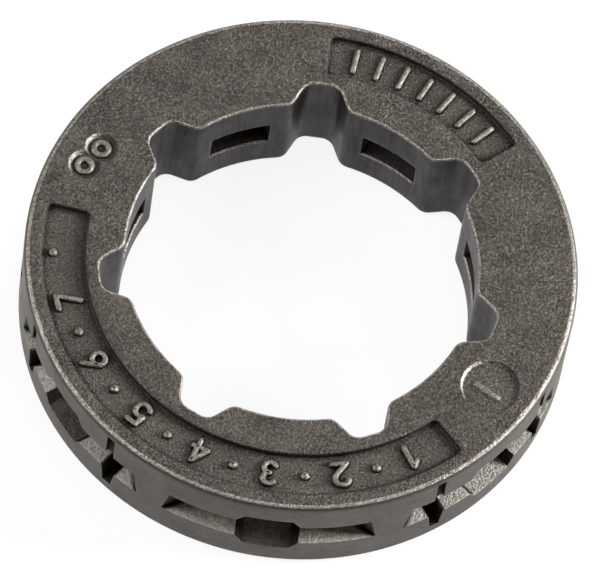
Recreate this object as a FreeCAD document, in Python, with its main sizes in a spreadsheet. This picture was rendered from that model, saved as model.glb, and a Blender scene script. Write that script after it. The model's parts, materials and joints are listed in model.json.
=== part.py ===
import FreeCAD, Part
import math
import os

import Sketcher

# Chainsaw rim sprocket: one cast ring with a splined bore, drive pockets
# round its rim and sunken marking panels on its upper face.
# The bore axis is +Z, the lower face lies on Z = 0, and the first drive
# pocket faces -Y.

NODE = "rim_sprocket"

# Driving dimensions, in millimetres and degrees.
SIZES = {
    # ring
    "rim_diameter": 34.5,
    "rim_height": 7.1,
    "rim_edge_round": 0.35,
    "rim_edge_break": 0.25,
    # splined bore
    "bore_diameter": 22.0,
    "spline_count": 7,
    "spline_root_diameter": 25.2,
    "spline_floor_width": 2.0,
    "spline_flank_angle": 25.0,
    "spline_corner_round": 0.85,
    "bore_edge_break": 0.2,
    # drive pockets, one behind each land of the bore
    "slot_height": 2.12,
    "slot_floor_radius": 13.2,
    "slot_ramp_angle": 30.0,
    "slot_end_draft": 8.7,
    "window_width": 3.95,
    "window_height": 3.6,
    "window_bevel_width": 0.5,
    "window_bevel_height": 0.7,
    # narrow upright grooves either side of a pocket
    "groove_width": 0.65,
    "groove_mouth_width": 1.05,
    "groove_depth": 1.6,
    "groove_spread": 15.0,
    "groove_foot": 0.9,
    "groove_head": 0.4,
    "groove_head_depth": 0.6,
    # sunken marking panels, angles counted from +X
    "panel_inner_radius": 13.45,
    "panel_outer_radius": 16.15,
    "panel_depth": 0.35,
    "panel_corner_round": 0.3,
    "panel_edge_break": 0.1,
    "short_panel_start": 39.4,
    "short_panel_end": 89.7,
    "long_panel_start": 174.0,
    "long_panel_end": 314.0,
    # round mould mark
    "mark_radius": 1.8,
    "mark_distance": 14.3,
    "mark_angle": 330.7,
    "mark_depth": 0.15,
    # how far a cutting outline runs past the faces it breaks through
    "cut_overlap": 1.0,
}

NEAR = 1e-4

doc = FreeCAD.newDocument(NODE)
sheet = doc.addObject("Spreadsheet::Sheet", "sizes")
for row, (alias, number) in enumerate(SIZES.items(), start=1):
    sheet.set(f"A{row}", alias)
    sheet.set(f"B{row}", str(number))
    sheet.setAlias(f"B{row}", alias)
doc.recompute()

body = doc.addObject("PartDesign::Body", NODE)
body.Label = NODE


def size(alias):
    return float(sheet.get(alias))


def origin_feature(role):
    return next(item for item in body.Origin.OriginFeatures if item.Role == role)


def new_sketch(name, plane, shift=None, turn=None, about=(0, 0, 1)):
    # A sketch on one of the body's own planes, moved along its normal by the
    # expression "shift" and turned by the expression "turn", about that normal
    # or about another of the sketch's own axes.
    sketch = body.newObject("Sketcher::SketchObject", name)
    sketch.AttachmentSupport = [(origin_feature(plane), "")]
    sketch.MapMode = "FlatFace"
    if shift:
        sketch.setExpression("AttachmentOffset.Base.z", shift)
    if turn:
        sketch.AttachmentOffset = FreeCAD.Placement(
            FreeCAD.Vector(), FreeCAD.Rotation(FreeCAD.Vector(*about), 1.0)
        )
        sketch.setExpression("AttachmentOffset.Rotation.Angle", turn)
    return sketch


def constrain(sketch, expression, kind, *where):
    # One dimension of a sketch, driven by the sheet.
    start = float(sketch.evalExpression(expression))
    if kind == "Angle":
        start = math.radians(start)
    index = sketch.addConstraint(Sketcher.Constraint(kind, *where, start))
    sketch.setExpression(f"Constraints[{index}]", expression)


def draw_closed(sketch, points):
    # Straight lines from point to point and back to the first.
    count = len(points)
    vectors = [FreeCAD.Vector(x, y, 0) for x, y in points]
    for i in range(count):
        line = Part.LineSegment(vectors[i], vectors[(i + 1) % count])
        sketch.addGeometry(line, False)
    for i in range(count):
        sketch.addConstraint(Sketcher.Constraint("Coincident", i, 2, (i + 1) % count, 1))


def draw_rows(sketch, rows):
    # A closed outline, alike on both sides of the V axis. Each row gives the
    # height and the full width of one pair of corners as expressions.
    heights = [float(sketch.evalExpression(height)) for height, _ in rows]
    halves = [float(sketch.evalExpression(width)) / 2 for _, width in rows]
    left = [(-half, height) for half, height in zip(halves, heights)]
    right = [(half, height) for half, height in zip(halves, heights)]
    draw_closed(sketch, left + right[::-1])
    for i, (height, width) in enumerate(rows):
        opposite = 2 * len(rows) - 1 - i
        sketch.addConstraint(Sketcher.Constraint("Symmetric", i, 1, opposite, 1, -2))
        constrain(sketch, height, "DistanceY", -1, 1, i, 1)
        constrain(sketch, width, "DistanceX", i, 1, opposite, 1)


def draw_round_end(sketch, centre, outer, width):
    # A straight groove seen from above, with a round end towards the axis.
    half = float(sketch.evalExpression(width)) / 2
    low = float(sketch.evalExpression(centre))
    high = float(sketch.evalExpression(outer))
    corners = [(-half, low), (-half, high), (half, high), (half, low)]
    vectors = [FreeCAD.Vector(x, y, 0) for x, y in corners]
    for here, there in zip(vectors, vectors[1:]):
        sketch.addGeometry(Part.LineSegment(here, there), False)
    circle = Part.Circle(FreeCAD.Vector(0, low, 0), FreeCAD.Vector(0, 0, 1), half)
    sketch.addGeometry(Part.ArcOfCircle(circle, math.pi, 2 * math.pi), False)
    for line in (0, 1):
        sketch.addConstraint(Sketcher.Constraint("Coincident", line, 2, line + 1, 1))
    sketch.addConstraint(Sketcher.Constraint("Tangent", 0, 1, 3, 1))
    sketch.addConstraint(Sketcher.Constraint("Tangent", 2, 2, 3, 2))
    sketch.addConstraint(Sketcher.Constraint("Vertical", 0))
    sketch.addConstraint(Sketcher.Constraint("Vertical", 2))
    sketch.addConstraint(Sketcher.Constraint("Symmetric", 1, 1, 1, 2, -2))
    constrain(sketch, centre, "DistanceY", -1, 1, 3, 3)
    constrain(sketch, outer, "DistanceY", -1, 1, 1, 1)
    constrain(sketch, width, "DistanceX", 1, 1, 1, 2)


def pocket(sketch, name, length=None, reversed_cut=False, midplane=False, draft=None):
    # A cut of the given length, or through everything when none is given. With
    # a draft, its walls lean in as it goes deeper.
    cut = body.newObject("PartDesign::Pocket", name)
    cut.Profile = sketch
    cut.Refine = False
    cut.Reversed = reversed_cut
    if midplane:
        cut.SideType = "Symmetric"
    if length:
        cut.Type = "Length"
        cut.setExpression("Length", length)
        if draft:
            cut.setExpression("TaperAngle", f"-({draft})")
    else:
        cut.Type = "ThroughAll"
    return cut


def round_pattern(name, features, occurrences, angle="360"):
    # Copies of the features about the bore axis.
    pattern = body.newObject("PartDesign::PolarPattern", name)
    pattern.Originals = features
    pattern.Refine = False
    pattern.Axis = (origin_feature("Z_Axis"), [""])
    pattern.setExpression("Angle", angle)
    pattern.setExpression("Occurrences", occurrences)
    body.Tip = pattern
    doc.recompute()
    return pattern


def dress_edges(kind, name, measure, expression, wanted):
    # A fillet or chamfer on every edge of the shape so far that "wanted" picks.
    doc.recompute()
    base = body.Tip
    edges = base.Shape.Edges
    names = [f"Edge{i}" for i, edge in enumerate(edges, start=1) if wanted(edge)]
    feature = body.newObject(f"PartDesign::{kind}", name)
    feature.Base = (base, names)
    feature.Refine = False
    feature.setExpression(measure, expression)
    doc.recompute()


def fillet(name, radius, wanted):
    dress_edges("Fillet", name, "Radius", radius, wanted)


def chamfer(name, leg, wanted):
    dress_edges("Chamfer", name, "Size", leg, wanted)


def radius_of(vertex):
    return math.hypot(vertex.X, vertex.Y)


def lies_at_height(edge, height):
    return all(abs(v.Z - height) < NEAR for v in edge.Vertexes)


def is_upright(edge, length):
    low, high = edge.BoundBox.ZMin, edge.BoundBox.ZMax
    flat = edge.BoundBox.XLength < NEAR and edge.BoundBox.YLength < NEAR
    return flat and abs(high - low - length) < NEAR


def draw_circle(sketch, alias):
    # A circle about the bore axis, of the diameter the sheet gives.
    circle = Part.Circle(FreeCAD.Vector(), FreeCAD.Vector(0, 0, 1), size(alias) / 2)
    sketch.addGeometry(circle, False)
    sketch.addConstraint(Sketcher.Constraint("Coincident", 0, 3, -1, 1))
    constrain(sketch, f"sizes.{alias}", "Diameter", 0)


def make_ring():
    # A disc, bored from its middle to each face as the two mould halves do, so
    # every land has an upper and a lower wall.
    disc_sketch = new_sketch("disc_outline", "XY_Plane")
    draw_circle(disc_sketch, "rim_diameter")
    disc = body.newObject("PartDesign::Pad", "disc")
    disc.Profile = disc_sketch
    disc.setExpression("Length", "sizes.rim_height")
    bore_sketch = new_sketch("bore_outline", "XY_Plane", shift="sizes.rim_height / 2")
    draw_circle(bore_sketch, "bore_diameter")
    pocket(bore_sketch, "lower_bore")
    pocket(bore_sketch, "upper_bore", reversed_cut=True)


def make_spline():
    # One tapered notch at +Y, repeated round the bore, then softened.
    sketch = new_sketch("spline_notch_outline", "XY_Plane")
    root = "sizes.spline_root_diameter / 2"
    mouth = "sizes.bore_diameter / 2 - sizes.cut_overlap"
    spread = f"2 * ({root} - ({mouth})) * tan(sizes.spline_flank_angle)"
    draw_rows(
        sketch,
        [(mouth, f"sizes.spline_floor_width + {spread}"), (root, "sizes.spline_floor_width")],
    )
    notch = pocket(sketch, "spline_notch", reversed_cut=True)
    round_pattern("spline", [notch], "sizes.spline_count")
    height = size("rim_height")

    def is_corner(edge):
        # The seam of a round wall stands at +X and is no corner.
        seam = abs(edge.Vertexes[0].Y) < NEAR
        upright = is_upright(edge, height) or is_upright(edge, height / 2)
        return upright and not seam

    fillet("spline_corners", "sizes.spline_corner_round", is_corner)


def soften_ring_edges():
    # The edges of the two flat faces: the rim's upper one is rounded, its lower
    # one and the bore's are broken.
    height = size("rim_height")
    wall_middle = (size("rim_diameter") + size("spline_root_diameter")) / 4

    def is_upper_rim(edge):
        return lies_at_height(edge, height) and radius_of(edge.Vertexes[0]) > wall_middle

    def is_lower_rim(edge):
        return lies_at_height(edge, 0) and radius_of(edge.Vertexes[0]) > wall_middle

    def is_bore_edge(edge):
        level = lies_at_height(edge, 0) or lies_at_height(edge, height)
        return level and radius_of(edge.Vertexes[0]) < wall_middle

    fillet("upper_rim_edge", "sizes.rim_edge_round", is_upper_rim)
    chamfer("lower_rim_edge", "sizes.rim_edge_break", is_lower_rim)
    chamfer("bore_edges", "sizes.bore_edge_break", is_bore_edge)


def make_drive_pockets():
    # The first pocket faces -Y, so its outlines are turned half round.
    floor_height = "(sizes.rim_height - sizes.slot_height) / 2"
    outer = "sizes.rim_diameter / 2 + sizes.cut_overlap"

    # A straight slit opens the floor of the pocket into the bore.
    slit_sketch = new_sketch("slit_outline", "XY_Plane", shift=floor_height, turn="180")
    draw_rows(
        slit_sketch,
        [
            ("sizes.bore_diameter / 2 - sizes.cut_overlap", "sizes.window_width"),
            ("sizes.slot_floor_radius", "sizes.window_width"),
        ],
    )
    slit = pocket(slit_sketch, "slit", length="sizes.slot_height", reversed_cut=True)

    # A funnel leads the drive link in: two ramps fall from the rim into the slit,
    # and their draft leaves the funnel's floor longer than its ceiling.
    lap = "sizes.cut_overlap / 2"
    lap_run = f"{lap} / tan(sizes.slot_ramp_angle)"
    run = f"({outer} - sizes.slot_floor_radius) / tan(sizes.slot_ramp_angle)"
    funnel_sketch = new_sketch("funnel_outline", "XY_Plane", shift=floor_height, turn="180")
    draw_rows(
        funnel_sketch,
        [
            (f"sizes.slot_floor_radius - {lap}", f"sizes.window_width - 2 * {lap_run}"),
            (outer, f"sizes.window_width + 2 * {run}"),
        ],
    )
    funnel = pocket(
        funnel_sketch,
        "funnel",
        length="sizes.slot_height",
        reversed_cut=True,
        draft="sizes.slot_end_draft",
    )

    # A taller window with bevelled corners, cut from the rim to the slit.
    window_sketch = new_sketch("window_outline", "XZ_Plane", shift="sizes.slot_floor_radius")
    low = "(sizes.rim_height - sizes.window_height) / 2"
    high = "(sizes.rim_height + sizes.window_height) / 2"
    narrow = "sizes.window_width - 2 * sizes.window_bevel_width"
    draw_rows(
        window_sketch,
        [
            (low, narrow),
            (f"{low} + sizes.window_bevel_height", "sizes.window_width"),
            (f"{high} - sizes.window_bevel_height", "sizes.window_width"),
            (high, narrow),
        ],
    )
    window = pocket(window_sketch, "window", reversed_cut=True)
    round_pattern("drive_pockets", [slit, funnel, window], "sizes.spline_count")


def draw_notch(sketch):
    # Seen from the side: a cut into the rim whose back leans out as it falls
    # from the groove's head to the middle of the slot.
    radius = size("rim_diameter") / 2
    back = radius - size("groove_head_depth")
    outer = radius + size("cut_overlap")
    head = size("rim_height") - size("groove_head")
    middle = size("rim_height") / 2
    draw_closed(sketch, [(back, head), (outer, head), (outer, middle), (radius, middle)])
    for line in (0, 2):
        sketch.addConstraint(Sketcher.Constraint("Horizontal", line))
    sketch.addConstraint(Sketcher.Constraint("Vertical", 1))
    constrain(sketch, "sizes.rim_diameter / 2 - sizes.groove_head_depth", "DistanceX", -1, 1, 0, 1)
    constrain(sketch, "sizes.rim_height - sizes.groove_head", "DistanceY", -1, 1, 0, 1)
    constrain(sketch, "sizes.rim_diameter / 2 + sizes.cut_overlap", "DistanceX", -1, 1, 1, 1)
    constrain(sketch, "sizes.rim_diameter / 2", "DistanceX", -1, 1, 3, 1)
    constrain(sketch, "sizes.rim_height / 2", "DistanceY", -1, 1, 3, 1)


def make_grooves():
    # A pair of upright grooves beside every pocket but the first. Below the
    # funnel each has a round end and closes in as it falls to its foot. Above
    # the funnel it is a shallow notch.
    centre = "sizes.rim_diameter / 2 - sizes.groove_depth + sizes.groove_mouth_width / 2"
    outer = "sizes.rim_diameter / 2 + sizes.cut_overlap"
    floor_height = "(sizes.rim_height - sizes.slot_height) / 2"
    fall = f"({floor_height} - sizes.groove_foot)"
    draft = f"atan((sizes.groove_mouth_width - sizes.groove_width) / 2 / {fall})"
    for side, sign in (("left", "-"), ("right", "+")):
        place = f"360 / sizes.spline_count {sign} sizes.groove_spread"
        sketch = new_sketch(
            f"groove_outline_{side}", "XY_Plane", shift=floor_height, turn=f"180 + {place}"
        )
        draw_round_end(sketch, centre, outer, "sizes.groove_mouth_width")
        groove = pocket(sketch, f"groove_{side}", length=fall, draft=draft)
        notch_sketch = new_sketch(
            f"notch_outline_{side}", "XZ_Plane", turn=f"{place} - 90", about=(0, 1, 0)
        )
        draw_notch(notch_sketch)
        notch = pocket(notch_sketch, f"notch_{side}", length="sizes.groove_width", midplane=True)
        round_pattern(
            f"grooves_{side}",
            [groove, notch],
            "sizes.spline_count - 1",
            "360 * (sizes.spline_count - 2) / sizes.spline_count",
        )


def make_panel(name):
    # A sunken stretch of ring between two angles, cut from the upper face.
    start = math.radians(size(f"{name}_start"))
    end = math.radians(size(f"{name}_end"))
    inner = size("panel_inner_radius")
    outer = size("panel_outer_radius")
    sketch = new_sketch(f"{name}_outline", "XY_Plane", shift="sizes.rim_height")
    axis = FreeCAD.Vector(0, 0, 1)
    for radius in (inner, outer):
        circle = Part.Circle(FreeCAD.Vector(), axis, radius)
        sketch.addGeometry(Part.ArcOfCircle(circle, start, end), False)
    for angle in (start, end):
        direction = FreeCAD.Vector(math.cos(angle), math.sin(angle), 0)
        sketch.addGeometry(Part.LineSegment(direction * inner, direction * outer), False)
    for arc, alias in ((0, "panel_inner_radius"), (1, "panel_outer_radius")):
        sketch.addConstraint(Sketcher.Constraint("Coincident", arc, 3, -1, 1))
        constrain(sketch, f"sizes.{alias}", "Radius", arc)
    for line, arc_end, alias in ((2, 1, f"{name}_start"), (3, 2, f"{name}_end")):
        sketch.addConstraint(Sketcher.Constraint("Coincident", line, 1, 0, arc_end))
        sketch.addConstraint(Sketcher.Constraint("Coincident", line, 2, 1, arc_end))
        sketch.addConstraint(Sketcher.Constraint("PointOnObject", -1, 1, line))
        constrain(sketch, f"sizes.{alias} * 1 deg", "Angle", line)
    pocket(sketch, name, length="sizes.panel_depth")


def soften_panels():
    depth = size("panel_depth")
    height = size("rim_height")
    middle = (size("panel_inner_radius") + size("panel_outer_radius")) / 2
    reach = size("panel_outer_radius") - middle + NEAR
    fillet("panel_corners", "sizes.panel_corner_round", lambda edge: is_upright(edge, depth))

    def is_panel_edge(edge):
        within = all(abs(radius_of(v) - middle) < reach for v in edge.Vertexes)
        return lies_at_height(edge, height) and within

    chamfer("panel_edges", "sizes.panel_edge_break", is_panel_edge)


def make_mould_mark():
    # A shallow round left by the mould on the upper face.
    sketch = new_sketch(
        "mould_mark_outline", "XY_Plane", shift="sizes.rim_height", turn="sizes.mark_angle"
    )
    centre = FreeCAD.Vector(size("mark_distance"), 0, 0)
    circle = Part.Circle(centre, FreeCAD.Vector(0, 0, 1), size("mark_radius"))
    sketch.addGeometry(circle, False)
    sketch.addConstraint(Sketcher.Constraint("PointOnObject", 0, 3, -1))
    constrain(sketch, "sizes.mark_distance", "DistanceX", -1, 1, 0, 3)
    constrain(sketch, "sizes.mark_radius", "Radius", 0)
    pocket(sketch, "mould_mark", length="sizes.mark_depth")


def check_document():
    for item in doc.Objects:
        if "Invalid" in item.State or "Error" in item.State:
            raise RuntimeError(f"{item.Name} failed: {item.State}")
    if body.Shape.isNull() or not body.Shape.isValid() or len(body.Shape.Solids) != 1:
        raise RuntimeError("the ring is not one valid solid")


make_ring()
make_spline()
soften_ring_edges()
make_drive_pockets()
make_grooves()
make_panel("short_panel")
make_panel("long_panel")
soften_panels()
make_mould_mark()
doc.recompute()
check_document()

os.makedirs("parts", exist_ok=True)
body.Shape.exportStep(os.path.join("parts", f"{NODE}.step"))
print(f"{NODE}: volume {body.Shape.Volume:.1f} mm3, faces {len(body.Shape.Faces)}")
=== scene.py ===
import json
import math

import bmesh
import bpy
from mathutils import Matrix, Vector


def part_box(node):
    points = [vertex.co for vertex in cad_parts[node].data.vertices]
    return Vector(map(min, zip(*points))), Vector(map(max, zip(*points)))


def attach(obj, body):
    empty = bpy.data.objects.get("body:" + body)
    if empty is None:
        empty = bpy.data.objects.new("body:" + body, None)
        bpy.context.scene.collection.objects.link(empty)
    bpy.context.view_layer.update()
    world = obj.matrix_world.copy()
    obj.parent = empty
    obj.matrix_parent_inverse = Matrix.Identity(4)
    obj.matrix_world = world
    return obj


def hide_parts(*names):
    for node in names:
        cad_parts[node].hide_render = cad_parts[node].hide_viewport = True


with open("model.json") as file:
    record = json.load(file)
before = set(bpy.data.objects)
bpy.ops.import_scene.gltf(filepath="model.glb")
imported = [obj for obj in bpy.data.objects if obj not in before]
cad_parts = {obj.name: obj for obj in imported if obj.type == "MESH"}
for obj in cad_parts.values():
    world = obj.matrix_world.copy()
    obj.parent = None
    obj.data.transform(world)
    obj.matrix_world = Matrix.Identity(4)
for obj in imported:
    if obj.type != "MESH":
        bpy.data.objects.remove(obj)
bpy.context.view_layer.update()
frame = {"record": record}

mm = 0.001  # the frame is in metres, the sizes below in millimetres
boxLow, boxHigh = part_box("rim_sprocket")
rimRadius = min(-boxLow[0], boxHigh[0], -boxLow[1], boxHigh[1]) / mm
rimHeight = (boxHigh[2] - boxLow[2]) / mm
landRadius = next(m for m in frame["record"]["mounts"] if m["name"] == "hub_bore")["dims"]["r_mm"]


def hexToLinear(code):
    parts = [int(code[i:i + 2], 16) / 255 for i in (0, 2, 4)]
    return [c / 12.92 if c <= 0.04045 else ((c + 0.055) / 1.055) ** 2.4 for c in parts] + [1.0]


def addNode(tree, kind, values=None, links=None, **settings):
    node = tree.nodes.new(kind)
    for name, value in settings.items():
        setattr(node, name, value)
    for socket, value in (values or {}).items():
        node.inputs[socket].default_value = value
    for socket, source in (links or {}).items():
        tree.links.new(source, node.inputs[socket])
    return node


# Finishes of the one casting. Each has its colours, the last of them the soot and painted shade of its
# corners, the size and depth of its grain and the size of its blotches in millimetres, its roughness
# from smooth to rough, how far the grain is drawn out along the axis, and how much wear and how many
# pale specks, painted as glints, it shows.
# Cast grain finer than about 0.14 mm is too fine to show, so it is drawn that coarse.
castFace = {  # as-cast steel face: ceramic mould grain, dull, with pale specks painted as glints, and dark pits
    "name": "steel_as_cast", "light": "5D5852", "dark": "2D2926", "sootAndShade": "100E0C", "metal": 0.85,
    "grain": 0.15, "depth": 0.22, "blotch": 2.4,
    "roughness": (0.42, 0.56), "stretch": 1, "wear": 0.6, "paintedGlints": 0.15,
}
panelWall = {  # walls of the sunken panels: the same casting, a little darker with grime and painted shade
    "name": "steel_panel_wall_grime_and_shade", "light": "524D48", "dark": "2E2A27", "sootAndShade": "0B0908", "metal": 0.85,
    "grain": 0.15, "depth": 0.08, "blotch": 1.5,
    "roughness": (0.44, 0.56), "stretch": 1, "wear": 0.3, "paintedGlints": 0.1,
}
tumbledRim = {  # rim smoothed by tumbling: an even satin grey
    "name": "steel_tumbled_rim", "light": "5C5752", "dark": "4D4844", "sootAndShade": "1C1917", "metal": 0.85,
    "grain": 0.30, "depth": 0.03, "blotch": 3.0,
    "roughness": (0.42, 0.54), "stretch": 1, "wear": 0.5, "paintedGlints": 0.0,
}
coredBore = {  # bore wall left by the core: darker and smoother, streaked along the axis
    "name": "steel_cored_bore", "light": "3C3838", "dark": "262323", "sootAndShade": "0E0C0C", "metal": 0.85,
    "grain": 0.22, "depth": 0.03, "blotch": 2.0,
    "roughness": (0.38, 0.52), "stretch": 12, "wear": 0.9, "paintedGlints": 0.0,
}
blastedAndLitPocket = {  # pocket floors reached by shot: pale, finely grained and matt; inside the windows on the lit side the same pale floor is painted light
    "name": "steel_shot_blasted_and_painted_light", "light": "C9C3BB", "dark": "8F8A83", "sootAndShade": "0C0A09", "metal": 0.6,
    "grain": 0.17, "depth": 0.13, "blotch": 1.4,
    "roughness": (0.66, 0.80), "stretch": 1, "wear": 0.3, "paintedGlints": 0.2,
}
pocketDepth = {  # deep pocket walls: dark, as painted shade
    "name": "steel_deep_wall_painted_shade", "light": "3E3A36", "dark": "262320", "sootAndShade": "080706", "metal": 0.8,
    "grain": 0.14, "depth": 0.07, "blotch": 1.4,
    "roughness": (0.52, 0.66), "stretch": 1, "wear": 0.9, "paintedGlints": 0.1,
}
shadedWindowFloor = {  # floors of the windows away from the light: darker, as painted shade, with some grain
    "name": "steel_window_floor_painted_shade", "light": "635E58", "dark": "403B37", "sootAndShade": "0C0A09", "metal": 0.7,
    "grain": 0.17, "depth": 0.10, "blotch": 1.4,
    "roughness": (0.60, 0.74), "stretch": 1, "wear": 0.4, "paintedGlints": 0.1,
}
wornAndLitEdge = {  # rounded edges, pale from wear and painted highlight: a thin pale line, the grain nearly gone
    "name": "steel_worn_edge_and_painted_highlight", "light": "A59F97", "dark": "46413D", "sootAndShade": "1A1715", "metal": 0.85,
    "grain": 0.15, "depth": 0.07, "blotch": 1.0,
    "roughness": (0.32, 0.48), "stretch": 1, "wear": 0.5, "paintedGlints": 0.3,
}
raisedMark = {  # raised strokes: the same rubbing on their crowns, soot and painted shade at their feet
    "name": "steel_raised_mark", "light": "8A847C", "dark": "524D48", "sootAndShade": "0E0C0B", "metal": 0.85,
    "grain": 0.15, "depth": 0.08, "blotch": 1.0,
    "roughness": (0.36, 0.50), "stretch": 1, "wear": 0.3, "paintedGlints": 0.2,
}
finishes = [
    castFace, panelWall, tumbledRim, coredBore, blastedAndLitPocket,
    pocketDepth, shadedWindowFloor, wornAndLitEdge, raisedMark,
]
(
    faceIndex, wallIndex, rimIndex, boreIndex, pocketIndex,
    deepIndex, shadedFloorIndex, edgeIndex, markIndex,
) = range(len(finishes))
shading = {  # what all finishes share, with distances in millimetres
    "noise": {"Detail": 3.0, "Roughness": 0.6}, "blotchShare": 0.3, "wearAndGlintTone": "C2BDB5",
    "edgeRound": 0.10, "edgeSamples": 6, "shadeReach": 0.5, "shadeSamples": 8,
    "tone": {"From Min": 0.45, "From Max": 0.85},  # from the dark colour to the light one
    "paintedGlints": {"From Min": 0.60, "From Max": 0.72},  # only the tops of the grain, painted pale as glints
    "edge": {"From Min": 0.99, "From Max": 0.85},  # from flat to fully rounded
    "openness": {"From Min": 0.62, "From Max": 0.88},  # from closed-in corners, darkened with soot and painted shade, to open faces
    "shine": {"From Min": 0.3, "From Max": 0.7},  # from rough blotches to smooth ones
}


def steel(finish):
    material = bpy.data.materials.new(finish["name"])
    material.use_nodes = True
    tree = material.node_tree
    tree.nodes.clear()
    place = addNode(tree, "ShaderNodeTexCoord").outputs["Object"]
    along = addNode(
        tree, "ShaderNodeMapping", {"Scale": (1, 1, 1 / finish["stretch"])}, {"Vector": place}
    ).outputs["Vector"]
    grain = addNode(
        tree, "ShaderNodeTexNoise", {"Scale": 1 / (finish["grain"] * mm), **shading["noise"]},
        {"Vector": along},
    ).outputs["Fac"]
    blotch = addNode(
        tree, "ShaderNodeTexNoise", {"Scale": 1 / (finish["blotch"] * mm), **shading["noise"]},
        {"Vector": place},
    ).outputs["Fac"]

    # Grain with a little of the blotches, from dark pits to light metal.
    mottled = addNode(
        tree, "ShaderNodeMath", {1: shading["blotchShare"]}, {0: blotch, 2: grain}, operation="MULTIPLY_ADD"
    ).outputs[0]
    tone = addNode(tree, "ShaderNodeMapRange", shading["tone"], {"Value": mottled}).outputs["Result"]
    plain = addNode(
        tree, "ShaderNodeMix", {6: hexToLinear(finish["dark"]), 7: hexToLinear(finish["light"])}, {0: tone},
        data_type="RGBA",
    ).outputs[2]

    # Wear: where the rounded normal leaves the true one, on edges that stand free.
    rounded = addNode(
        tree, "ShaderNodeBevel", {"Radius": shading["edgeRound"] * mm}, samples=shading["edgeSamples"]
    ).outputs["Normal"]
    straight = addNode(tree, "ShaderNodeNewGeometry").outputs["Normal"]
    same = addNode(
        tree, "ShaderNodeVectorMath", None, {0: rounded, 1: straight}, operation="DOT_PRODUCT"
    ).outputs["Value"]
    edge = addNode(
        tree, "ShaderNodeMapRange", {**shading["edge"], "To Max": finish["wear"]}, {"Value": same}
    ).outputs["Result"]
    # Closed-in places darken towards the soot colour: soot and painted shade.
    free = addNode(
        tree, "ShaderNodeAmbientOcclusion", {"Distance": shading["shadeReach"] * mm},
        samples=shading["shadeSamples"],
    ).outputs["AO"]
    openness = addNode(tree, "ShaderNodeMapRange", shading["openness"], {"Value": free}).outputs["Result"]
    paled = addNode(tree, "ShaderNodeMath", None, {0: edge, 1: openness}, operation="MULTIPLY").outputs[0]
    paled = addNode(tree, "ShaderNodeMath", None, {0: paled, 1: tone}, operation="MULTIPLY").outputs[0]
    # The highest grain is painted pale: painted glints.
    paintedGlints = addNode(
        tree, "ShaderNodeMapRange", {**shading["paintedGlints"], "To Max": finish["paintedGlints"]}, {"Value": grain}
    ).outputs["Result"]

    # Pale steel at worn edges and in specks painted as glints, and soot with painted shade over all in the
    # corners.
    wearAndGlints = addNode(tree, "ShaderNodeMath", None, {0: paled, 1: paintedGlints}, operation="MAXIMUM").outputs[0]
    bright = addNode(
        tree, "ShaderNodeMix", {7: hexToLinear(shading["wearAndGlintTone"])}, {0: wearAndGlints, 6: plain}, data_type="RGBA"
    ).outputs[2]
    colour = addNode(
        tree, "ShaderNodeMix", {6: hexToLinear(finish["sootAndShade"])}, {0: openness, 7: bright}, data_type="RGBA"
    ).outputs[2]

    smooth, rough = finish["roughness"]
    shine = addNode(
        tree, "ShaderNodeMapRange", {**shading["shine"], "To Min": rough, "To Max": smooth},
        {"Value": blotch},
    ).outputs["Result"]
    bump = addNode(
        tree, "ShaderNodeBump", {"Distance": finish["depth"] * mm}, {"Height": grain, "Normal": rounded}
    ).outputs["Normal"]
    shader = addNode(
        tree, "ShaderNodeBsdfPrincipled", {"Metallic": finish["metal"]},
        {"Base Color": colour, "Roughness": shine, "Normal": bump},
    )
    addNode(tree, "ShaderNodeOutputMaterial", None, {"Surface": shader.outputs["BSDF"]})
    return material


steels = [steel(finish) for finish in finishes]
print("finishes:", len(steels))


# The ring: a splined bore swept to a round rim, then cut.
ring = {
    "sectors": 7,
    "rootRadius": 12.6, "floorWidth": 2.0, "flankAngle": 25, "cornerRound": 0.85,
    "lowerBoreEdge": 0.3, "upperBoreEdge": 0.14, "upperRimEdge": 0.35, "lowerRimEdge": 0.24,
    "faceSteps": (13.1, 16.7),  # radii of the extra loops on both faces
    # steps along the spline, then round the edges; the last is how many are pale on the upper rim, as wear
    # and painted highlight
    "flatSteps": 3, "cornerSteps": 6, "landSteps": 10, "boreSteps": 6, "rimSteps": 7, "paleEdgeSteps": 3,
}


def arcPoints(centre, radius, start, end, steps):
    angles = [start + (end - start) * i / steps for i in range(steps + 1)]
    return [Vector((centre[0] + radius * math.cos(a), centre[1] + radius * math.sin(a))) for a in angles]


def polar(distance, degrees):
    return Vector((distance * math.cos(math.radians(degrees)), distance * math.sin(math.radians(degrees))))


def quarter(steps):
    return [math.pi / 2 * i / steps for i in range(steps + 1)]


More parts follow.
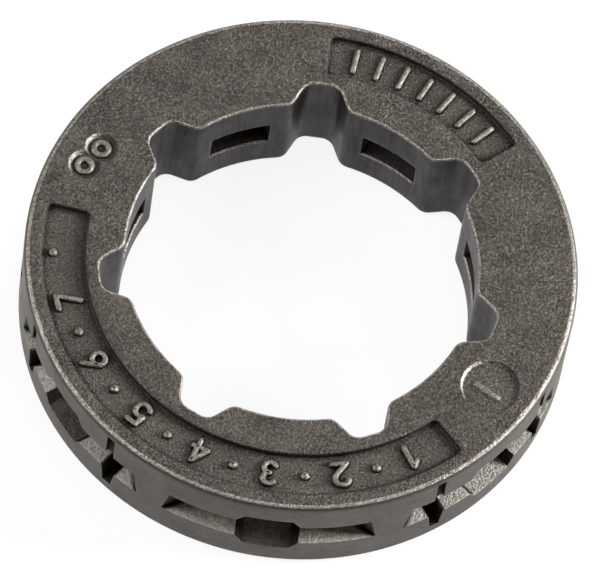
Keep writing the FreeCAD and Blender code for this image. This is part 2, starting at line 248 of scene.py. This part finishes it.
def splineHalf():
    # From the middle of a notch floor at +Y to the middle of the next land, each point
    # with the direction into the metal.
    root, turn, flats = ring["rootRadius"], ring["cornerRound"], ring["flatSteps"]
    flank = math.radians(ring["flankAngle"])
    down = Vector((math.sin(flank), -math.cos(flank)))
    intoLand = Vector((math.cos(flank), math.sin(flank)))
    corner = Vector((ring["floorWidth"] / 2, root))
    tangent = turn * math.tan((math.pi / 2 - flank) / 2)
    inside = Vector((corner.x - tangent, root - turn))
    path = [(Vector((inside.x * i / flats, root)), Vector((0, 1))) for i in range(flats)]
    for p in arcPoints(inside, turn, math.pi / 2, flank, ring["cornerSteps"]):
        path.append((p, (p - inside).normalized()))

    # The land's corner is a round that touches both the flank and the land circle.
    start = corner + intoLand * turn
    reach = landRadius + turn
    middle = start.dot(down)
    half = math.sqrt(middle ** 2 - start.length_squared + reach ** 2)
    slide = -middle - half
    if slide < 0:
        slide = -middle + half
    centre = start + down * slide
    flankStart, flankEnd = path[-1][0], centre - intoLand * turn
    path += [(flankStart.lerp(flankEnd, i / flats), intoLand) for i in range(1, flats)]
    landStart = math.atan2(centre.y, centre.x)
    for p in arcPoints(centre, turn, flank + math.pi, landStart + math.pi, ring["cornerSteps"]):
        path.append((p, (centre - p).normalized()))
    landMiddle = math.pi / 2 - math.pi / ring["sectors"]
    land = arcPoints((0, 0), landRadius, landStart, landMiddle, ring["landSteps"])
    path += [(p, p.normalized()) for p in land[1:]]
    return path


def splineContour():
    half = splineHalf()
    mirrored = [(Vector((-p.x, p.y)), Vector((-n.x, n.y))) for p, n in reversed(half[1:])]
    sector = mirrored + half[:-1]
    contour = []
    for k in range(ring["sectors"]):
        spin = Matrix.Rotation(-2 * math.pi * k / ring["sectors"], 2)
        contour += [(spin @ p, spin @ n) for p, n in sector]
    return contour


def meshObject(name, vertices, faces, indices):
    mesh = bpy.data.meshes.new(name)
    mesh.from_pydata([tuple(c * mm for c in v) for v in vertices], [], faces)
    for material in steels:
        mesh.materials.append(material)
    mesh.polygons.foreach_set("material_index", indices)
    work = bmesh.new()
    work.from_mesh(mesh)
    bmesh.ops.recalc_face_normals(work, faces=work.faces)
    work.to_mesh(mesh)
    work.free()
    piece = bpy.data.objects.new(name, mesh)
    bpy.context.collection.objects.link(piece)
    return piece


def sweptRing():
    contour = splineContour()
    count = len(contour)
    first = math.pi / 2 + math.pi / ring["sectors"]
    even = [first - 2 * math.pi * i / count for i in range(count)]
    lower, upper, top = ring["lowerBoreEdge"], ring["upperBoreEdge"], rimHeight
    rimTop, rimFoot = ring["upperRimEdge"], ring["lowerRimEdge"]
    boreSteps, rimSteps, paled = ring["boreSteps"], ring["rimSteps"], ring["paleEdgeSteps"]

    def boreLoop(offset, z):
        return [(*(p + n * offset), z) for p, n in contour]

    def roundLoop(radius, z):
        return [(radius * math.cos(a), radius * math.sin(a), z) for a in even]

    # Up the bore, out over the upper face, down the rim and back under the lower face.
    loops = []
    for a in quarter(boreSteps):
        loops.append(boreLoop(lower * (1 - math.sin(a)), lower * (1 - math.cos(a))))
    for a in quarter(boreSteps):
        loops.append(boreLoop(upper * (1 - math.cos(a)), top - upper * (1 - math.sin(a))))
    loops += [roundLoop(radius, top) for radius in ring["faceSteps"]]
    for a in quarter(rimSteps):
        loops.append(roundLoop(rimRadius - rimTop * (1 - math.sin(a)), top - rimTop * (1 - math.cos(a))))
    for a in quarter(rimSteps):
        loops.append(roundLoop(rimRadius - rimFoot * (1 - math.cos(a)), rimFoot * (1 - math.sin(a))))
    loops += [roundLoop(radius, 0) for radius in reversed(ring["faceSteps"])]

    # One finish per strip. The upper rim edge is pale, as wear and painted highlight, only where it meets
    # the face.
    boreStrips = [edgeIndex] * boreSteps + [boreIndex] + [edgeIndex] * boreSteps
    faceStrips = [faceIndex] * (len(ring["faceSteps"]) + 1)
    rimStrips = [edgeIndex] * paled + [rimIndex] * (rimSteps - paled + 1) + [edgeIndex] * rimSteps

    vertices = [v for loop in loops for v in loop]
    faces, indices = [], []
    for row, finish in enumerate(boreStrips + faceStrips + rimStrips + faceStrips):
        after = (row + 1) % len(loops)
        for i in range(count):
            j = (i + 1) % count
            faces.append((row * count + i, row * count + j, after * count + j, after * count + i))
            indices.append(finish)
    return meshObject("sprocket_ring", vertices, faces, indices)


def stacks(name, solids, capFinish, wallFinish):
    # Closed solids in one mesh, each a stack of equally long loops of 3-D points.
    # wallFinish gives a wall's finish from its row in the stack and its side of the loop.
    vertices, faces, indices = [], [], []
    for loops in solids:
        base, count, last = len(vertices), len(loops[0]), len(loops) - 1
        vertices += [point for loop in loops for point in loop]
        faces.append(tuple(base + i for i in reversed(range(count))))
        faces.append(tuple(base + last * count + i for i in range(count)))
        indices += [capFinish] * 2
        for row in range(last):
            low, high = base + row * count, base + (row + 1) * count
            for i in range(count):
                j = (i + 1) % count
                faces.append((low + i, low + j, high + j, high + i))
                indices.append(wallFinish(row, i))
    return meshObject(name, vertices, faces, indices)


def spun(points, degrees):
    turn = Matrix.Rotation(math.radians(degrees), 3, "Z")
    return [tuple(turn @ Vector(p)) for p in points]


def repeated(loops, turns):
    return [[spun(loop, turn) for loop in loops] for turn in turns]


# Drive pockets: a slit through the land, a funnel of two ramps and a window with bevelled sides.
pockets = {
    "slotHeight": 2.12, "floorRadius": 13.2, "rampAngle": 30, "endDraft": 8.7, "lap": 0.5,
    "windowWidth": 3.95, "windowHeight": 3.6, "bevelWidth": 0.5, "bevelHeight": 0.7, "overlap": 1.0,
    "lip": 0.12, "lipSteps": 5, "lipSides": 12,
    # the windows on the right, where the light falls, are pale inside as painted light; the others darker
    # as painted shade
    "paintedLitWindows": (1, 2, 3), "paintedShadeWindows": (4, 5, 6, 0),
    # small steps that keep the cutters' walls out of one plane
    "clear": 0.004, "lipClear": 0.012, "windowClear": 0.02,
}
slotFloor = (rimHeight - pockets["slotHeight"]) / 2
pocketTurns = [360 / ring["sectors"] * k for k in range(ring["sectors"])]


def slitCutter():
    half, low = pockets["windowWidth"] / 2 - pockets["clear"], slotFloor + pockets["clear"]
    near, far = landRadius - pockets["overlap"], pockets["floorRadius"] + pockets["lap"]
    plan = [(half, -near), (half, -far), (-half, -far), (-half, -near)]
    loops = [[(x, y, z) for x, y in plan] for z in (low, rimHeight - low)]
    return stacks("slit_cutter", repeated(loops, pocketTurns), deepIndex, lambda row, side: deepIndex)


def lipCutter():
    # Rounds the slit's lower edge where it opens into the bore, along the land's arc. Only this lower edge
    # takes the pale edge finish, a painted highlight where light from above falls.
    lip, inner = pockets["lip"], landRadius - pockets["overlap"]
    half = math.asin((pockets["windowWidth"] / 2 - pockets["lipClear"]) / landRadius)
    levels = []
    for a in quarter(pockets["lipSteps"]):
        reach = landRadius - pockets["clear"] + lip * (1 - math.cos(a))
        levels.append((slotFloor - lip * (1 - math.sin(a)), reach))
    loops = []
    for z, reach in [*levels, (slotFloor + lip, levels[-1][1])]:
        arc = arcPoints((0, 0), reach, -math.pi / 2 - half, -math.pi / 2 + half, pockets["lipSides"])
        plan = [*arc, (arc[-1].x, -inner), (arc[0].x, -inner)]
        loops.append([(x, y, z) for x, y in plan])
    return stacks("lip_cutter", repeated(loops, pocketTurns), edgeIndex, lambda row, side: edgeIndex)


def funnelCutter():
    # Two ramps fall from the rim to the slit. They lean in, so the floor is the longer.
    ramp, draft = math.radians(pockets["rampAngle"]), math.radians(pockets["endDraft"])
    near, far = pockets["floorRadius"] - pockets["lap"], rimRadius + pockets["overlap"]
    loops = []
    for z, inset in ((slotFloor, 0), (rimHeight - slotFloor, pockets["slotHeight"] * math.tan(draft))):
        foot = pockets["windowWidth"] / 2 - inset / math.sin(ramp)
        short, long = (foot + (y - pockets["floorRadius"]) / math.tan(ramp) for y in (near, far))
        loops.append([(short, -near, z), (long, -far, z), (-long, -far, z), (-short, -near, z)])
    return stacks("funnel_cutter", repeated(loops, pocketTurns), pocketIndex, lambda row, side: deepIndex)


def windowCutter(places, floorFinish):
    wide, tall = pockets["windowWidth"] / 2, pockets["windowHeight"] / 2
    narrow, short = wide - pockets["bevelWidth"], tall - pockets["bevelHeight"]
    corner = [(narrow, -tall), (wide, -short), (wide, short), (narrow, tall)]
    face = corner + [(-x, -z) for x, z in corner]
    depths = (-pockets["floorRadius"] + pockets["windowClear"], -rimRadius - pockets["overlap"])
    loops = [[(x, y, z + rimHeight / 2) for x, z in face] for y in depths]
    floorSide = len(face) - 1
    return stacks(
        "window_cutter", repeated(loops, [pocketTurns[i] for i in places]), deepIndex,
        lambda row, side: floorFinish if side == floorSide else deepIndex,
    )


# Grooves: a pair beside every pocket but the first.
grooves = {
    "width": 0.65, "mouth": 1.05, "depth": 1.6, "spread": 15, "foot": 0.9,
    "lip": 0.12, "lipSteps": 4, "endSides": 12, "head": 0.4, "headDepth": 0.6,
}
grooveTurns = [turn + side * grooves["spread"] for turn in pocketTurns[1:] for side in (-1, 1)]


def grooveCutter():
    # Below the funnel: a round end, walls that close in towards the foot, a rounded lip on top.
    mouth, lip = grooves["mouth"] / 2, grooves["lip"]
    centre, outer = rimRadius - grooves["depth"] + mouth, rimRadius + pockets["overlap"]
    flare = []
    for a in reversed(quarter(grooves["lipSteps"])):
        flare.append((slotFloor - lip * (1 - math.cos(a)), mouth + lip * (1 - math.sin(a))))
    levels = [(grooves["foot"], grooves["width"] / 2), *flare, (rimHeight / 2, mouth + lip)]
    loops = []
    for z, half in levels:
        end = arcPoints((0, -centre), half, 0, math.pi, grooves["endSides"])
        loops.append([(x, y, z) for x, y in [(half, -outer), *end, (-half, -outer)]])
    return stacks(
        "groove_cutter", repeated(loops, grooveTurns), deepIndex,
        # the rounded lip takes the pale edge finish: wear and painted highlight
        lambda row, side: edgeIndex if 0 < row < len(flare) else deepIndex,
    )


def notchCutter():
    # Above the funnel: a shallow notch whose back leans out as it falls.
    half, outer = grooves["width"] / 2, rimRadius + pockets["overlap"]
    head = (rimHeight - grooves["head"], rimRadius - grooves["headDepth"])
    loops = []
    for z, inner in ((rimHeight / 2, rimRadius), head):
        loops.append([(half, -outer, z), (half, -inner, z), (-half, -inner, z), (-half, -outer, z)])
    return stacks("notch_cutter", repeated(loops, grooveTurns), deepIndex, lambda row, side: deepIndex)


# Sunken panels on the upper face, a short one and a long one.
panels = {
    "inner": 13.45, "outer": 16.15, "depth": 0.35, "corner": 0.35,
    "spans": ((39.4, 89.7), (174.0, 314.0)), "stepAngle": 1.5, "cornerSteps": 5,
    # from the floor up: height share and how far the wall lies inside the outline
    "profile": ((0, 0.10), (0.1, 0.05), (0.25, 0.03), (0.8, 0.0), (0.93, -0.03), (1, -0.08), (1.5, -0.3)),
}


def panelOutline(start, end, inset):
    inner, outer, turn = panels["inner"] + inset, panels["outer"] - inset, panels["corner"]
    middle = (inner + outer) / 2
    steps = round((end - start) / panels["stepAngle"])
    start, end = math.radians(start) + inset / middle, math.radians(end) - inset / middle
    far, near = outer - turn, inner + turn
    farAngle, nearAngle = math.asin(turn / far), math.asin(turn / near)
    sideEnds = (far * math.cos(farAngle), near * math.cos(nearAngle))

    def corner(distance, angle, fromAngle, toAngle):
        centre = (distance * math.cos(angle), distance * math.sin(angle))
        return arcPoints(centre, turn, fromAngle, toAngle, panels["cornerSteps"])[1:-1]

    points = arcPoints((0, 0), outer, start + farAngle, end - farAngle, steps)
    points += corner(far, end - farAngle, end - farAngle, end + math.pi / 2)
    points += [Vector((r * math.cos(end), r * math.sin(end))) for r in sideEnds]
    points += corner(near, end - nearAngle, end + math.pi / 2, end - nearAngle + math.pi)
    points += arcPoints((0, 0), inner, end - nearAngle, start + nearAngle, steps)
    points += corner(near, start + nearAngle, start + nearAngle + math.pi, start + 1.5 * math.pi)
    points += [Vector((r * math.cos(start), r * math.sin(start))) for r in reversed(sideEnds)]
    points += corner(far, start + farAngle, start + 1.5 * math.pi, start + farAngle + 2 * math.pi)
    return points


def panelCutter():
    foot = rimHeight - panels["depth"]
    solids = []
    for start, end in panels["spans"]:
        solids.append([
            [(*p, foot + share * panels["depth"]) for p in panelOutline(start, end, inset)]
            for share, inset in panels["profile"]
        ])
    return stacks("panel_cutter", solids, faceIndex, lambda row, side: wallIndex)


dishes = {  # shallow rounds on the upper face: distance from the axis, angle, radius, depth
    "mould": (14.3, -29.3, 1.85, 0.15),
    "firstRing": (14.57, 155.6, 1.05, 0.2),
    "secondRing": (14.91, 161.7, 1.05, 0.2),
}
dishWall = {  # a flat floor, then a wall that leans out towards the face, the side facing the light painted pale as a painted highlight
    "profile": ((-1, -2.0), (-0.85, -1.1), (0, 0), (1, 1.5)),  # height and spread, in depths
    "sides": 40, "paintedLightRow": 1, "paintedLightSides": range(11, 24),
}


def dishCutter(distance, angle, radius, depth):
    loops = []
    for rise, out in dishWall["profile"]:
        circle = arcPoints(polar(distance, angle), radius + out * depth, 0, 2 * math.pi, dishWall["sides"])
        loops.append([(*p, rimHeight + rise * depth) for p in circle[:-1]])

    def wallFinish(row, side):
        # The lit side of the wall is painted pale: a painted highlight.
        paled = row == dishWall["paintedLightRow"] and side in dishWall["paintedLightSides"]
        return edgeIndex if paled else faceIndex

    return stacks("dish_cutter", [loops], faceIndex, wallFinish)


def cutAway(piece, cutters):
    for cutter in cutters:
        cut = piece.modifiers.new(cutter.name, "BOOLEAN")
        cut.operation, cut.solver, cut.object = "DIFFERENCE", "EXACT", cutter
        cut.material_mode = "INDEX"
    shaped = bpy.data.meshes.new_from_object(piece.evaluated_get(bpy.context.evaluated_depsgraph_get()))
    piece.modifiers.clear()
    piece.data = shaped
    for cutter in cutters:
        bpy.data.objects.remove(cutter)


smoothing = {"weld": 0.002, "sharpAngle": 28, "faceWeight": 90}


def smoothFaces(piece):
    weld = smoothing["weld"] * mm
    work = bmesh.new()
    work.from_mesh(piece.data)
    bmesh.ops.remove_doubles(work, verts=work.verts, dist=weld)
    bmesh.ops.dissolve_degenerate(work, dist=weld, edges=work.edges)
    for face in work.faces:
        face.smooth = True
    work.to_mesh(piece.data)
    work.free()
    piece.data.set_sharp_from_angle(angle=math.radians(smoothing["sharpAngle"]))
    weighted = piece.modifiers.new("face_weighted_normals", "WEIGHTED_NORMAL")
    weighted.keep_sharp = True
    weighted.weight = smoothing["faceWeight"]


sprocket = sweptRing()
bpy.context.view_layer.update()
cutAway(sprocket, [
    slitCutter(), lipCutter(), funnelCutter(),
    # window floors: painted light on the right, painted shade on the rest
    windowCutter(pockets["paintedLitWindows"], pocketIndex), windowCutter(pockets["paintedShadeWindows"], shadedFloorIndex),
    grooveCutter(), notchCutter(), panelCutter(), *[dishCutter(*dish) for dish in dishes.values()],
])
smoothFaces(sprocket)
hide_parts("rim_sprocket")
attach(sprocket, "root")
print("ring:", len(sprocket.data.polygons), "faces")


# Raised marks, all plain: the numbers 1 to 7 with dots between them on the long panel, one
# short stroke per drive pocket on the other, two rings and a bar in the shallow rounds.
marks = {
    "tube": 0.20, "roundness": 3, "lift": 0.05, "underFace": 0.01, "height": 1.45, "distance": 14.8,
    "numberSpan": (303.0, 199.0), "numberMiddle": (0.31, 0.5), "arcSteps": 18,
    "dotRadius": 0.10, "dotSteps": 12, "endDot": (15.45, 186.0), "strokeSpan": (46.0, 83.0),
    "ringRadius": 0.46, "ringTube": 0.24, "ringSteps": 32,
    "bar": ((13.5, -30.6), (15.05, -30.6)), "barTube": 0.30,
    "taper": ((0.9, 0.44), (0.5, 0.87)),  # past a stroke's end, in tube radii, and the size there
    "joined": 0.001,  # a path whose ends are closer than this is a closed one
}
# strokes of each number, in heights: a line is two points, an arc is centre, radius and two angles
numbers = (
    (((0.12, 0.76), (0.36, 1.0)), ((0.36, 1.0), (0.36, 0.0))),
    ((0.31, 0.70, 0.30, 165, -38), ((0.55, 0.52), (0.02, 0.0)), ((0.02, 0.0), (0.62, 0.0))),
    ((0.29, 0.75, 0.25, 150, -90), (0.29, 0.25, 0.25, 90, -150)),
    (((0.46, 0.0), (0.46, 1.0)), ((0.46, 1.0), (0.0, 0.32)), ((0.0, 0.32), (0.64, 0.32))),
    (((0.54, 1.0), (0.10, 1.0)), ((0.10, 1.0), (0.06, 0.55)), (0.28, 0.31, 0.31, 130, -145)),
    (((0.48, 1.0), (0.07, 0.45)), (0.31, 0.29, 0.29, 0, 360)),
    (((0.0, 1.0), (0.60, 1.0)), ((0.60, 1.0), (0.22, 0.0))),
)


def spread(span, count):
    return [span[0] + (span[1] - span[0]) * i / (count - 1) for i in range(count)]


def strokePoints(stroke):
    if len(stroke) == 2:
        return [Vector(point) for point in stroke]
    x, y, radius, start, end = stroke
    return arcPoints((x, y), radius, math.radians(start), math.radians(end), marks["arcSteps"])


def numberPaths(strokes, angle):
    # The number's top points away from the axis, and its middle lies on the panel's middle.
    up, right = polar(marks["height"], angle), polar(marks["height"], angle - 90)
    middleRight, middleUp = marks["numberMiddle"]
    corner = polar(marks["distance"], angle) - up * middleUp - right * middleRight
    return [[corner + right * p.x + up * p.y for p in strokePoints(stroke)] for stroke in strokes]


def markPaths():
    # Each path: points in the face's plane, its floor's height and the tube's radius.
    floor, tube = rimHeight - panels["depth"], marks["tube"]
    paths = []
    places = spread(marks["numberSpan"], len(numbers))
    for strokes, angle in zip(numbers, places):
        paths += [(points, floor, tube) for points in numberPaths(strokes, angle)]
    dots = [polar(marks["distance"], (here + there) / 2) for here, there in zip(places, places[1:])]
    for dot in dots + [polar(*marks["endDot"])]:
        paths.append((arcPoints(dot, marks["dotRadius"], 0, 2 * math.pi, marks["dotSteps"]), floor, tube))
    for angle in spread(marks["strokeSpan"], ring["sectors"]):
        ends = [marks["distance"] + side * marks["height"] / 2 for side in (-1, 1)]
        paths.append(([polar(end, angle) for end in ends], floor, tube))
    for name in ("firstRing", "secondRing"):
        distance, angle, _, depth = dishes[name]
        circle = arcPoints(polar(distance, angle), marks["ringRadius"], 0, 2 * math.pi, marks["ringSteps"])
        paths.append((circle, rimHeight - depth, marks["ringTube"]))
    bar = [polar(*end) for end in marks["bar"]]
    *_, depth = dishes["mould"]
    paths.append((bar, rimHeight - depth, marks["barTube"]))
    return paths


def addMarks():
    drawing = bpy.data.curves.new("raised_marks", "CURVE")
    drawing.dimensions = "3D"
    drawing.bevel_depth = marks["tube"] * mm
    drawing.bevel_resolution = marks["roundness"]
    drawing.use_fill_caps = True
    for points, floor, tube in markPaths():
        full = tube / marks["tube"]
        closed = (points[0] - points[-1]).length < marks["joined"]
        if closed:
            points = points[:-1]
            sizes = [full] * len(points)
        else:  # both ends taper to a round
            first = (points[0] - points[1]).normalized() * tube
            last = (points[-1] - points[-2]).normalized() * tube
            head = [points[0] + first * past for past, _ in marks["taper"]]
            tail = [points[-1] + last * past for past, _ in reversed(marks["taper"])]
            narrow = [full * share for _, share in marks["taper"]]
            sizes = narrow + [full] * len(points) + narrow[::-1]
            points = head + points + tail
        top = min(floor + marks["lift"] + tube, rimHeight - marks["underFace"])
        line = drawing.splines.new("POLY")
        line.points.add(len(points) - 1)
        line.use_cyclic_u = closed
        line.use_smooth = True
        for point, place, size in zip(line.points, points, sizes):
            point.co = (place.x * mm, place.y * mm, (top - tube) * mm, 1)
            point.radius = size
    sketch = bpy.data.objects.new("marks_sketch", drawing)
    bpy.context.collection.objects.link(sketch)
    bpy.context.view_layer.update()
    mesh = bpy.data.meshes.new_from_object(sketch.evaluated_get(bpy.context.evaluated_depsgraph_get()))
    bpy.data.objects.remove(sketch)
    mesh.materials.clear()
    mesh.materials.append(steels[markIndex])
    piece = bpy.data.objects.new("raised_marks", mesh)
    bpy.context.collection.objects.link(piece)
    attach(piece, "root")
    print("marks:", len(mesh.polygons), "faces")


addMarks()


# Camera: fitted to the rim's outline and the spline's corners in the photo.
camera = {  # angles in degrees, distance and aside in rim radii, nearest in mm
    "photoWidth": 600, "focalPixels": 8076, "elevation": 61.99, "roll": 9.86, "azimuth": -2.53,
    "distance": 29.22, "aside": (-0.0094, 0.0114), "nearest": 10,
}


def addCamera():
    data = bpy.data.cameras.new("photo_camera")
    data.sensor_fit = "HORIZONTAL"
    data.lens = camera["focalPixels"] * data.sensor_width / camera["photoWidth"]
    data.clip_start = camera["nearest"] * mm
    lift, spin = math.radians(camera["elevation"]), math.radians(camera["azimuth"])
    turn = Matrix.Rotation(spin, 3, "Z")
    back = turn @ Vector((0, -math.cos(lift), math.sin(lift)))
    right = turn @ Vector((1, 0, 0))
    up = back.cross(right)
    roll = math.radians(camera["roll"])
    rolledRight = right * math.cos(roll) + up * math.sin(roll)
    rolledUp = up * math.cos(roll) - right * math.sin(roll)
    aside = camera["aside"]
    place = back * camera["distance"] - rolledRight * aside[0] - rolledUp * aside[1]
    place = place * rimRadius * mm + Vector((0, 0, rimHeight / 2 * mm))
    lens = bpy.data.objects.new("photo_camera", data)
    axes = Matrix((rolledRight, rolledUp, back)).transposed()
    lens.matrix_world = Matrix.Translation(place) @ axes.to_4x4()
    bpy.context.collection.objects.link(lens)
    bpy.context.scene.camera = lens
    print("camera:", round(data.lens), "mm lens")


addCamera()


# Studio: a white floor and soft boxes, sized to the part.
studio = {
    "floorSize": 1200, "floorDrop": 0.02,  # a hair under the ring, so the two don't share a plane
    "paper": "F4F4F4", "glow": "FFFFFF", "glowShare": 0.86,  # the rest of the paper takes the shadow
    "worldTone": "FFFFFF", "worldStrength": 0.08,
    "boxes": (  # azimuth from the front, elevation, distance and size in mm, watts
        ("left_box", -88, 36, 300, 140, 0.75),
        ("right_box", 98, 20, 300, 110, 2.0),
        ("overhead_box", 0, 85, 320, 120, 0.35),
        ("back_box", 170, 28, 320, 140, 0.4),
    ),
}


def addFloor():
    half, low = studio["floorSize"] / 2 * mm, -studio["floorDrop"] * mm
    corners = [(-half, -half, low), (half, -half, low), (half, half, low), (-half, half, low)]
    mesh = bpy.data.meshes.new("studio_floor")
    mesh.from_pydata(corners, [], [(0, 1, 2, 3)])
    floor = bpy.data.objects.new("studio_floor", mesh)
    bpy.context.collection.objects.link(floor)
    paper = bpy.data.materials.new("studio_paper")  # matt white paper: keeps a soft shadow
    paper.use_nodes = True
    tree = paper.node_tree
    tree.nodes.clear()
    path = addNode(tree, "ShaderNodeLightPath").outputs
    seen = addNode(
        tree, "ShaderNodeMath", None, {0: path["Is Camera Ray"], 1: path["Is Glossy Ray"]},
        operation="MAXIMUM",
    ).outputs[0]
    seen = addNode(
        tree, "ShaderNodeMath", None, {0: seen, 1: path["Is Transmission Ray"]}, operation="MAXIMUM"
    ).outputs[0]
    share = addNode(
        tree, "ShaderNodeMath", {1: studio["glowShare"]}, {0: seen}, operation="MULTIPLY"
    ).outputs[0]
    sheet = addNode(tree, "ShaderNodeBsdfDiffuse", {"Color": hexToLinear(studio["paper"])})
    glow = addNode(tree, "ShaderNodeEmission", {"Color": hexToLinear(studio["glow"]), "Strength": 1.0})
    mixed = addNode(
        tree, "ShaderNodeMixShader", None,
        {0: share, 1: sheet.outputs["BSDF"], 2: glow.outputs["Emission"]},
    )
    addNode(tree, "ShaderNodeOutputMaterial", None, {"Surface": mixed.outputs["Shader"]})
    mesh.materials.append(paper)


def addWorld():
    world = bpy.data.worlds.new("studio_world")
    world.use_nodes = True
    tree = world.node_tree
    tree.nodes.clear()
    path = addNode(tree, "ShaderNodeLightPath").outputs
    strength = addNode(
        tree, "ShaderNodeMapRange", {"To Min": studio["worldStrength"], "To Max": 1.0},
        {"Value": path["Is Camera Ray"]},
    ).outputs["Result"]
    sky = addNode(
        tree, "ShaderNodeBackground", {"Color": hexToLinear(studio["worldTone"])}, {"Strength": strength}
    )
    addNode(tree, "ShaderNodeOutputWorld", None, {"Surface": sky.outputs["Background"]})
    bpy.context.scene.world = world


def addBoxes():
    target = Vector((0, 0, rimHeight / 2 * mm))
    for name, azimuth, elevation, distance, size, watts in studio["boxes"]:
        data = bpy.data.lights.new(name, "AREA")
        data.shape, data.size, data.energy = "SQUARE", size * mm, watts
        side, lift = math.radians(azimuth), math.radians(elevation)
        away = Vector((math.cos(lift) * math.sin(side), -math.cos(lift) * math.cos(side), math.sin(lift)))
        lamp = bpy.data.objects.new(name, data)
        lamp.location = target + away * distance * mm
        lamp.rotation_euler = away.to_track_quat("Z", "Y").to_euler()
        bpy.context.collection.objects.link(lamp)


addFloor()
addWorld()
addBoxes()
bpy.context.scene.view_settings.view_transform = "Standard"
print("studio:", len(studio["boxes"]), "soft boxes")

bpy.context.view_layer.update()
